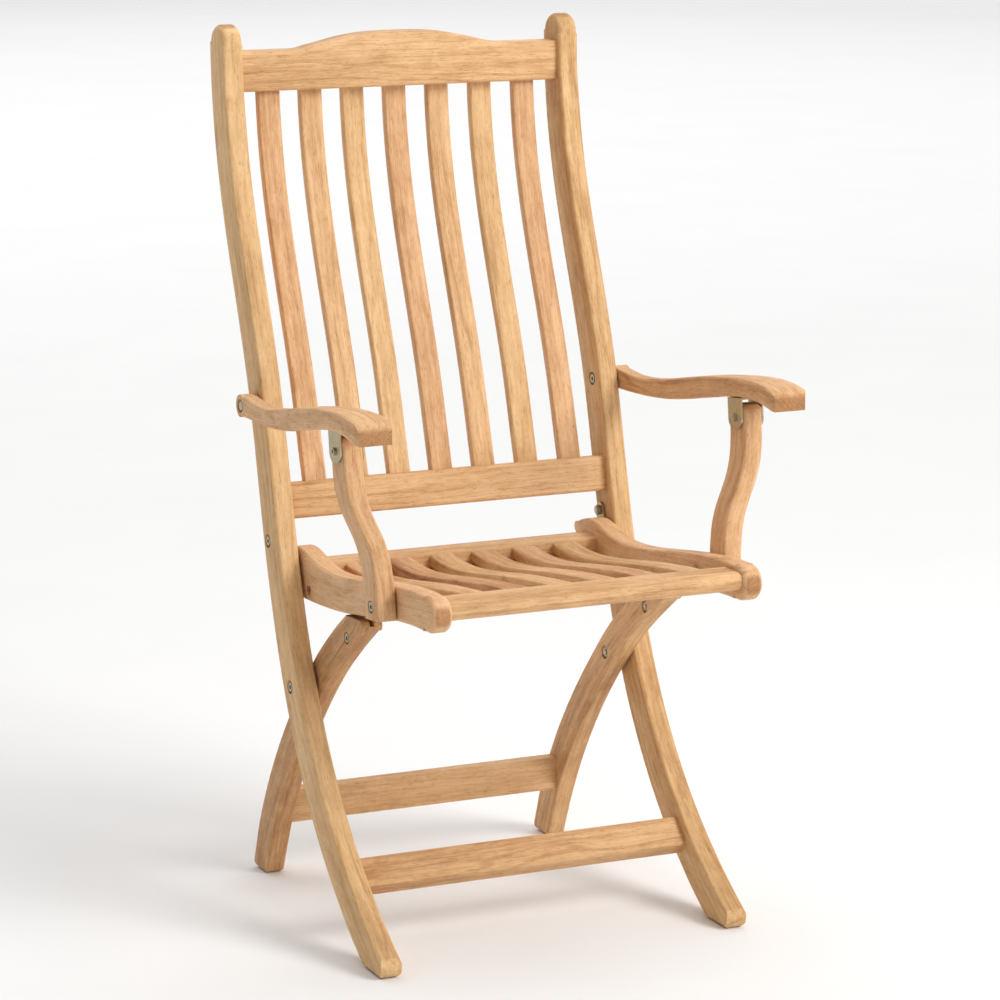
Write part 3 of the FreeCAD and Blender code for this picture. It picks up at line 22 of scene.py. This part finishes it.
# ------------------------------------------------------------------ small node helpers
class Tree:
    """Adds nodes to one material and links them."""

    def __init__(self, name):
        self.mat = bpy.data.materials.new(name)
        self.mat.use_nodes = True
        self.nt = self.mat.node_tree
        self.nt.nodes.clear()
        self.out = self.nt.nodes.new("ShaderNodeOutputMaterial")
        self.bsdf = self.nt.nodes.new("ShaderNodeBsdfPrincipled")
        self.link(self.bsdf.outputs["BSDF"], self.out.inputs["Surface"])

    def link(self, a, b):
        self.nt.links.new(a, b)

    def put(self, socket, value):
        if isinstance(value, bpy.types.NodeSocket):
            self.link(value, socket)
        else:
            socket.default_value = value

    def math(self, op, a, b=None, clamp=False):
        n = self.nt.nodes.new("ShaderNodeMath")
        n.operation = op
        n.use_clamp = clamp
        self.put(n.inputs[0], a)
        if b is not None:
            self.put(n.inputs[1], b)
        return n.outputs[0]

    def remap(self, v, a, b, c, d, clamp=True):
        n = self.nt.nodes.new("ShaderNodeMapRange")
        n.clamp = clamp
        self.put(n.inputs["Value"], v)
        self.put(n.inputs["From Min"], a)
        self.put(n.inputs["From Max"], b)
        self.put(n.inputs["To Min"], c)
        self.put(n.inputs["To Max"], d)
        return n.outputs["Result"]

    def smooth(self, v, a, b):
        n = self.nt.nodes.new("ShaderNodeMapRange")
        n.interpolation_type = "SMOOTHSTEP"
        self.put(n.inputs["Value"], v)
        self.put(n.inputs["From Min"], a)
        self.put(n.inputs["From Max"], b)
        n.inputs["To Min"].default_value = 0.0
        n.inputs["To Max"].default_value = 1.0
        return n.outputs["Result"]

    def xyz(self, x, y, z):
        n = self.nt.nodes.new("ShaderNodeCombineXYZ")
        self.put(n.inputs[0], x)
        self.put(n.inputs[1], y)
        self.put(n.inputs[2], z)
        return n.outputs[0]

    def noise(self, vec, scale=1.0, detail=2.0, rough=0.5, distort=0.0):
        n = self.nt.nodes.new("ShaderNodeTexNoise")
        n.noise_dimensions = "3D"
        self.put(n.inputs["Vector"], vec)
        n.inputs["Scale"].default_value = scale
        n.inputs["Detail"].default_value = detail
        n.inputs["Roughness"].default_value = rough
        n.inputs["Distortion"].default_value = distort
        return n.outputs["Fac"]

    def mix(self, fac, a, b, blend="MIX"):
        n = self.nt.nodes.new("ShaderNodeMix")
        n.data_type = "RGBA"
        n.blend_type = blend
        n.clamp_factor = True
        self.put(n.inputs[0], fac)
        self.put(n.inputs[6], a)
        self.put(n.inputs[7], b)
        return n.outputs[2]

    def ramp(self, fac, stops):
        n = self.nt.nodes.new("ShaderNodeValToRGB")
        cr = n.color_ramp
        while len(cr.elements) < len(stops):
            cr.elements.new(0.5)
        for e, (p, c) in zip(cr.elements, stops):
            e.position = p
            e.color = c
        self.put(n.inputs["Fac"], fac)
        return n.outputs["Color"]

    def curve(self, v, points):
        """v mapped through a smooth curve given by (input, output) points."""
        x0, x1 = points[0][0], points[-1][0]
        y0, y1 = min(p[1] for p in points), max(p[1] for p in points)
        if y1 - y0 < 1e-6:
            y1 = y0 + 1e-6
        t = self.remap(v, x0, x1, 0.0, 1.0)
        n = self.nt.nodes.new("ShaderNodeFloatCurve")
        n.mapping.use_clip = False
        c = n.mapping.curves[0]
        norm = [((p[0] - x0) / (x1 - x0), (p[1] - y0) / (y1 - y0)) for p in points]
        c.points[0].location = norm[0]
        c.points[1].location = norm[-1]
        for p in norm[1:-1]:
            c.points.new(p[0], p[1])
        n.mapping.update()
        n.inputs["Factor"].default_value = 1.0
        self.link(t, n.inputs["Value"])
        return self.remap(n.outputs["Value"], 0.0, 1.0, y0, y1, clamp=False)


def lin(r, g, b):
    """sRGB 0-255 to linear RGBA."""
    out = []
    for v in (r, g, b):
        v = v / 255.0
        out.append(v / 12.92 if v <= 0.04045 else ((v + 0.055) / 1.055) ** 2.4)
    return (out[0], out[1], out[2], 1.0)


# ------------------------------------------------------------------ wood
# middle lines of the curved members, side view, metres in the row frame
STILE_MID = [(-0.2274, 0.0056), (-0.1562, 0.0538), (-0.0911, 0.1100), (-0.0342, 0.1746), (0.0130, 0.2465),
             (0.0505, 0.3239), (0.0802, 0.4047), (0.1041, 0.4873), (0.1250, 0.5709), (0.1482, 0.6537),
             (0.1780, 0.7345), (0.2101, 0.8144), (0.2385, 0.8956), (0.2575, 0.9795), (0.2643, 1.0685)]
LEG_MID = [(-0.0950, 0.4030), (-0.0820, 0.3900), (-0.0670, 0.3800), (-0.0480, 0.3660), (-0.0130, 0.3390), (0.0355, 0.2950),
           (0.0785, 0.2500), (0.1200, 0.2010), (0.1560, 0.1508), (0.1890, 0.0970), (0.2160, 0.0406), (0.2300, 0.0000)]
RAIL_MID = [(-0.3370, 0.4560), (-0.2810, 0.4510), (-0.2300, 0.4460), (-0.1740, 0.4400), (-0.1100, 0.4320), (-0.0470, 0.4232),
            (0.0180, 0.4220), (0.0520, 0.4250), (0.1270, 0.4290)]
ARM_MID = [(-0.2960, 0.6660), (-0.2620, 0.6710), (-0.2380, 0.6718), (-0.2000, 0.6696), (-0.1640, 0.6645), (-0.1110, 0.6555),
           (-0.0580, 0.6455), (-0.0030, 0.6360), (0.0530, 0.6300), (0.1040, 0.6290), (0.1510, 0.6300)]
SEAT_TOP = [(-0.2890, 0.4625), (-0.2200, 0.4551), (-0.1650, 0.4475), (-0.1100, 0.4387), (-0.0600, 0.4311), (-0.0250, 0.4271),
            (0.0100, 0.4259), (0.0400, 0.4271), (0.0620, 0.4297)]
SUP_MID = [(0.4200, 0.2290), (0.4450, 0.2295), (0.4800, 0.2313), (0.5040, 0.2347), (0.5270, 0.2418), (0.5500, 0.2518),
           (0.5730, 0.2592), (0.6200, 0.2634), (0.6510, 0.2637)]


def grain_coords(t, kind, side):
    """Grain coordinates of a member: along the grain, and two across it, in metres.
    kind says which way the member runs; a curved member is straightened along its middle line."""
    tc = t.nt.nodes.new("ShaderNodeTexCoord")
    sep = t.nt.nodes.new("ShaderNodeSeparateXYZ")
    t.link(tc.outputs["Object"], sep.inputs[0])
    x, y, z = sep.outputs[0], sep.outputs[1], sep.outputs[2]
    nsep = t.nt.nodes.new("ShaderNodeSeparateXYZ")
    t.link(tc.outputs["Normal"], nsep.inputs[0])
    nx, ny, nz = nsep.outputs[0], nsep.outputs[1], nsep.outputs[2]
    if kind == "x":
        return x, y, z, nx
    if kind in ("stile", "leg"):
        pts = STILE_MID if kind == "stile" else sorted(LEG_MID, key=lambda p: p[1])
        prof = [(p[1], p[0] + SH) for p in pts]
        along = []
        s = 0.0
        for i, p in enumerate(pts):
            if i:
                s += math.hypot(p[0] - pts[i - 1][0], p[1] - pts[i - 1][1])
            along.append((p[1], s))
        mid = t.curve(z, prof)
        u = t.curve(z, along)
        slope = []
        for i, p in enumerate(pts):
            a, b = pts[max(0, i - 1)], pts[min(len(pts) - 1, i + 1)]
            slope.append((p[1], (b[1] - a[1]) / math.hypot(b[0] - a[0], b[1] - a[1])))
        cosv = t.curve(z, slope)
        w = t.math("MULTIPLY", t.math("SUBTRACT", y, mid), cosv)
        return u, x, w, nz
    if kind in ("rail", "arm", "seat"):
        pts = {"rail": RAIL_MID, "arm": ARM_MID, "seat": SEAT_TOP}[kind]
        mid = t.curve(y, [(p[0] + SH, p[1]) for p in pts])
        return y, x, t.math("SUBTRACT", z, mid), ny
    if kind == "support":
        mid = t.curve(z, [(p[0], side * p[1]) for p in SUP_MID])
        return z, t.math("SUBTRACT", x, mid), y, nz
    raise ValueError(kind)


def wood(name, kind, seed, tone_and_painted_shade=0.0, pink=0.0, side=1):
    """Bare sanded hardwood: soft growth figure, fibre streaks and short dark pores along the grain,
    speckled end grain where the surface cuts across it."""
    t = Tree(name)
    u, v, w, ng = grain_coords(t, kind, side)
    o1, o2, o3 = (seed * 0.731) % 7.0, (seed * 1.377) % 5.0, (seed * 2.113) % 3.0
    uo = t.math("ADD", u, o1)
    vo = t.math("ADD", v, o2)
    wo = t.math("ADD", w, o3)

    def streak(ku, kv, detail, rough, distort=0.0):
        # noise drawn out along the grain: ku along, kv across, per metre
        return t.noise(t.xyz(t.math("MULTIPLY", uo, ku), t.math("MULTIPLY", vo, kv), t.math("MULTIPLY", wo, kv)),
                       1.0, detail, rough, distort)

    drift = streak(2.6, 16.0, 2.0, 0.5)
    broad = streak(3.2, 62.0, 2.0, 0.55, 0.35)
    medium = streak(8.0, 210.0, 2.0, 0.55, 0.25)
    fibre = streak(26.0, 640.0, 2.0, 0.6)
    fine = streak(80.0, 1900.0, 1.0, 0.5)
    mottle = streak(34.0, 60.0, 2.0, 0.6)
    # growth lines: thin darker lines that wander with the board, stronger in some places than in others
    a = (seed * 0.618) % 1.0 * math.pi
    across = t.math("ADD", t.math("MULTIPLY", vo, math.cos(a)), t.math("MULTIPLY", wo, math.sin(a)))
    wander = streak(2.0, 13.0, 3.0, 0.55)
    phase = t.math("ADD", t.math("MULTIPLY", across, 420.0), t.math("MULTIPLY", wander, 44.0))
    lines = t.smooth(t.math("SINE", phase), 0.35, 1.0)
    lines = t.math("MULTIPLY", lines, t.remap(broad, 0.35, 0.65, 0.1, 1.0))
    # short dark pores
    pore = streak(120.0, 1150.0, 1.0, 0.4)
    pores = t.smooth(pore, 0.61, 0.73)
    long_pore = t.smooth(streak(42.0, 700.0, 1.0, 0.4), 0.66, 0.76)
    pores = t.math("MAXIMUM", pores, t.math("MULTIPLY", long_pore, 0.8))

    # this darkening (+) or paling (-) of the whole board is partly its own tone and partly painted shade on boards
    # that sit in shade
    f = 0.485 - tone_and_painted_shade * 0.6
    for n, k in ((drift, 0.62), (broad, 0.40), (medium, 0.44), (fibre, 0.40), (mottle, 0.34), (fine, 0.24)):
        f = t.math("ADD", t.math("MULTIPLY", t.math("SUBTRACT", n, 0.5), k), f)
    f = t.math("SUBTRACT", f, t.math("MULTIPLY", lines, 0.16))

    def c(r, g, b):
        return lin(r + 3 * pink, g - 5 * pink, b + 5 * pink)
    colour = t.ramp(f, [(0.08, c(160, 112, 70)), (0.30, c(193, 146, 99)), (0.48, c(213, 169, 121)),
                        (0.66, c(226, 185, 138)), (0.88, c(237, 202, 158))])
    colour = t.mix(t.math("MULTIPLY", pores, 0.40), colour, lin(116, 74, 42))
    # end grain: darker and speckled, with soft rings
    end = t.smooth(t.math("ABSOLUTE", ng), 0.74, 0.95)
    cell = t.noise(t.xyz(t.math("MULTIPLY", vo, 420.0), t.math("MULTIPLY", wo, 420.0), uo), 1.0, 3.0, 0.65, 0.3)
    ring = t.noise(t.xyz(t.math("MULTIPLY", across, 330.0), t.math("MULTIPLY", wander, 3.0), uo), 1.0, 2.0, 0.6)
    dots = t.smooth(t.noise(t.xyz(t.math("MULTIPLY", vo, 1300.0), t.math("MULTIPLY", wo, 1300.0), uo), 1.0, 1.0, 0.5),
                    0.58, 0.70)
    g = t.math("ADD", t.math("MULTIPLY", cell, 0.6), t.math("MULTIPLY", ring, 0.4))
    endc = t.ramp(g, [(0.28, c(126, 80, 44)), (0.52, c(168, 118, 72)), (0.75, c(196, 148, 98))])
    endc = t.mix(t.math("MULTIPLY", dots, 0.50), endc, lin(98, 58, 28))
    colour = t.mix(t.math("MULTIPLY", end, 0.80), colour, endc)
    t.link(colour, t.bsdf.inputs["Base Color"])
    rough = t.math("ADD", t.remap(fibre, 0.2, 0.8, 0.64, 0.50), t.math("MULTIPLY", pores, 0.18))
    t.link(rough, t.bsdf.inputs["Roughness"])
    t.bsdf.inputs["Specular IOR Level"].default_value = 0.28
    height = t.math("SUBTRACT", t.math("MULTIPLY", fibre, 0.5), t.math("MULTIPLY", pores, 0.9))
    height = t.math("ADD", height, t.math("MULTIPLY", fine, 0.25))
    bump = t.nt.nodes.new("ShaderNodeBump")
    bump.inputs["Strength"].default_value = 0.35
    bump.inputs["Distance"].default_value = 0.00035
    t.link(height, bump.inputs["Height"])
    t.link(bump.outputs["Normal"], t.bsdf.inputs["Normal"])
    return t.mat


# ------------------------------------------------------------------ plated steel
def zinc(name, seed, yellow=0.6, rough=0.34):
    """Yellow passivated zinc: a patchy pale gold over grey, with fine scratches and dull spots."""
    t = Tree(name)
    tc = t.nt.nodes.new("ShaderNodeTexCoord")
    sep = t.nt.nodes.new("ShaderNodeSeparateXYZ")
    t.link(tc.outputs["Object"], sep.inputs[0])
    p = t.xyz(t.math("ADD", sep.outputs[0], seed * 0.37), t.math("ADD", sep.outputs[1], seed * 0.91), sep.outputs[2])
    patch = t.noise(p, 130.0, 4.0, 0.6, 0.4)
    spots = t.noise(p, 620.0, 2.0, 0.5)
    scratch = t.noise(t.xyz(t.math("MULTIPLY", sep.outputs[0], 300.0), t.math("MULTIPLY", sep.outputs[1], 2400.0),
                            t.math("MULTIPLY", sep.outputs[2], 260.0)), 1.0, 2.0, 0.5)
    base = t.ramp(patch, [(0.25, lin(140, 134, 118)), (0.45, lin(180, 166, 128)), (0.60, lin(198, 172, 106)),
                          (0.80, lin(164, 152, 124))])
    base = t.mix(0.75 - yellow * 0.5, base, lin(172, 172, 168))
    base = t.mix(t.math("MULTIPLY", t.smooth(spots, 0.62, 0.75), 0.4), base, lin(116, 104, 80))
    t.link(base, t.bsdf.inputs["Base Color"])
    t.bsdf.inputs["Metallic"].default_value = 0.92
    r = t.math("ADD", t.remap(spots, 0.3, 0.75, rough - 0.06, rough + 0.14), t.math("MULTIPLY", scratch, 0.08))
    t.link(r, t.bsdf.inputs["Roughness"])
    bump = t.nt.nodes.new("ShaderNodeBump")
    bump.inputs["Strength"].default_value = 0.18
    bump.inputs["Distance"].default_value = 0.00012
    t.link(t.math("ADD", t.math("MULTIPLY", scratch, 0.6), spots), bump.inputs["Height"])
    t.link(bump.outputs["Normal"], t.bsdf.inputs["Normal"])
    return t.mat


def assign(name, mat):
    o = nodes[name]
    o.data.materials.clear()
    o.data.materials.append(mat)


KIND = {}
for side, s in (("left", -1), ("right", 1)):
    KIND[side + "_stile"] = ("stile", 0.00, -0.30, s)
    KIND[side + "_rear_leg"] = ("leg", 0.07, 0.0, s)
    KIND[side + "_seat_rail"] = ("rail", -0.06, 0.25, s)
    KIND[side + "_arm"] = ("arm", -0.02, 0.15, s)
    KIND[side + "_arm_support"] = ("support", -0.08, 0.2, s)
for n in ("crest_rail", "lower_back_rail", "front_stretcher", "rear_stretcher", "seat_front_rail", "seat_rear_rail",
          "seat_batten", "back_frame_dowels", "leg_frame_dowels", "seat_frame_dowels"):
    KIND[n] = ("x", -0.01, 0.0, 1)
for i in range(1, 8):
    KIND["back_slat_%d" % i] = ("stile", -0.06, 0.25 * ((i * 5) % 3 - 1), 1)
for i in range(1, 7):
    KIND["seat_slat_%d" % i] = ("seat", 0.05, 0.25 * ((i * 4) % 3 - 0.5), 1)

# boards differ a little: darker (+) or paler (-) than their kind; this is partly board tone and partly painted shade,
# since the left rear leg and the front stretcher are darkened where they sit low and in shade
BOARD_TONE_AND_PAINTED_SHADE = {"left_stile": -0.14, "left_rear_leg": 0.16, "right_stile": 0.05, "front_stretcher": 0.11, "crest_rail": 0.04, "left_seat_rail": -0.06,
         "right_arm_support": -0.05, "left_arm_support": 0.02, "back_slat_2": -0.09, "back_slat_5": 0.03,
         "back_slat_7": 0.04, "lower_back_rail": -0.03, "seat_slat_2": 0.05, "seat_slat_5": -0.04}

seed = 1.0
for n in sorted(nodes):
    seed += 1.0
    if n in KIND:
        kind, tone_and_painted_shade, pink, s = KIND[n]
        assign(n, wood("wood_" + n, kind, seed, tone_and_painted_shade + BOARD_TONE_AND_PAINTED_SHADE.get(n, 0.0), pink, s))
    else:
        plate = "plate" in n or n.endswith("bracket")
        assign(n, zinc("steel_" + n, seed, 1.0 if plate else 0.55, 0.36 if plate else 0.30))

# ------------------------------------------------------------------ softened edges on the wood
for n, o in nodes.items():
    if n in KIND:
        m = o.modifiers.new("weld", "WELD")
        m.merge_threshold = 0.000002
        m = o.modifiers.new("soften", "BEVEL")
        m.width = 0.0022
        m.segments = 3
        m.limit_method = "ANGLE"
        m.angle_limit = math.radians(38)
        m.harden_normals = False
    for p in o.data.polygons:
        p.use_smooth = True

# ------------------------------------------------------------------ floor, light, camera
bpy.ops.mesh.primitive_plane_add(size=60.0, location=(0, 0, -0.0005))
floor = bpy.context.object
floor.name = "floor"
t = Tree("floor_paper_with_painted_glow")
tc = t.nt.nodes.new("ShaderNodeTexCoord")
g = t.noise(tc.outputs["Object"], 3.0, 3.0, 0.5)
t.link(t.ramp(g, [(0.3, (0.865, 0.865, 0.863, 1)), (0.7, (0.88, 0.88, 0.878, 1))]), t.bsdf.inputs["Base Color"])
t.bsdf.inputs["Roughness"].default_value = 0.9
t.bsdf.inputs["Specular IOR Level"].default_value = 0.1
# painted light: the studio sweep glows by its own emission away from the object, where the wash behind it doesn't
# reach
sep = t.nt.nodes.new("ShaderNodeSeparateXYZ")
t.link(tc.outputs["Object"], sep.inputs[0])


def reach(cx, cy, rx, ry):
    dx = t.math("DIVIDE", t.math("SUBTRACT", sep.outputs[0], cx), rx)
    dy = t.math("DIVIDE", t.math("SUBTRACT", sep.outputs[1], cy), ry)
    return t.math("SQRT", t.math("ADD", t.math("MULTIPLY", dx, dx), t.math("MULTIPLY", dy, dy)))


# painted glow: floor emission strength, rising with distance from the object and towards the far wash
far = t.smooth(reach(0.0, 0.0, 1.0, 1.0), 2.2, 7.0)
painted_floor_glow = t.math("MULTIPLY", far, t.math("ADD", t.math("MULTIPLY", t.smooth(reach(2.6, 9.6, 9.5, 8.0), 0.7, 1.4), 0.57), 0.05))
t.bsdf.inputs["Emission Color"].default_value = (1.0, 1.0, 0.998, 1.0)
t.link(painted_floor_glow, t.bsdf.inputs["Emission Strength"])
floor.data.materials.append(t.mat)

world = bpy.data.worlds.new("studio")
bpy.context.scene.world = world
world.use_nodes = True
bg = world.node_tree.nodes["Background"]
# paler towards the horizon
wn = world.node_tree
way = wn.nodes.new("ShaderNodeTexCoord")
wsep = wn.nodes.new("ShaderNodeSeparateXYZ")
wn.links.new(way.outputs["Generated"], wsep.inputs[0])
sky = wn.nodes.new("ShaderNodeValToRGB")
sky.color_ramp.elements[0].position = 0.08
sky.color_ramp.elements[0].color = (0.80, 0.80, 0.80, 1.0)
sky.color_ramp.elements[1].position = 0.32
sky.color_ramp.elements[1].color = (0.18, 0.18, 0.18, 1.0)
wn.links.new(wsep.outputs[2], sky.inputs["Fac"])
wn.links.new(sky.outputs["Color"], bg.inputs["Color"])
bg.inputs["Strength"].default_value = 1.0


def area(name, loc, target, size, energy, color=(1, 1, 1)):
    d = bpy.data.lights.new(name, "AREA")
    d.shape = "RECTANGLE"
    d.size, d.size_y = size
    d.energy = energy
    d.color = color
    o = bpy.data.objects.new(name, d)
    bpy.context.scene.collection.objects.link(o)
    o.location = loc
    o.rotation_mode = "QUATERNION"
    o.rotation_quaternion = (Vector(target) - Vector(loc)).to_track_quat("-Z", "Y")
    return o


area("key", (2.6, -3.6, 3.4), (0, 0, 0.5), (2.4, 2.4), 209.0, (1.0, 0.985, 0.96))
area("top", (0.2, -0.4, 4.2), (0, 0, 0.4), (3.0, 3.0), 55.0)
area("far_floor", (2.6, 9.6, 6.0), (2.6, 9.6, 0.0), (19.0, 16.0), 1140.0)

# photographic prints are plain display colours
bpy.context.scene.view_settings.view_transform = "Standard"

cam = bpy.data.cameras.new("photo_view")
cam.lens = 136.19
cam.sensor_width = 36.0
cam.clip_start, cam.clip_end = 0.1, 200.0
camera = bpy.data.objects.new("photo_view", cam)
bpy.context.scene.collection.objects.link(camera)
az, el = math.radians(-24.60), math.radians(11.58)
back = Vector((math.sin(az) * math.cos(el), -math.cos(az) * math.cos(el), math.sin(el)))
camera.location = (-1.894, -4.189 + SH, 1.456)
camera.rotation_mode = "QUATERNION"
camera.rotation_quaternion = (-back).to_track_quat("-Z", "Y")
bpy.context.scene.camera = camera
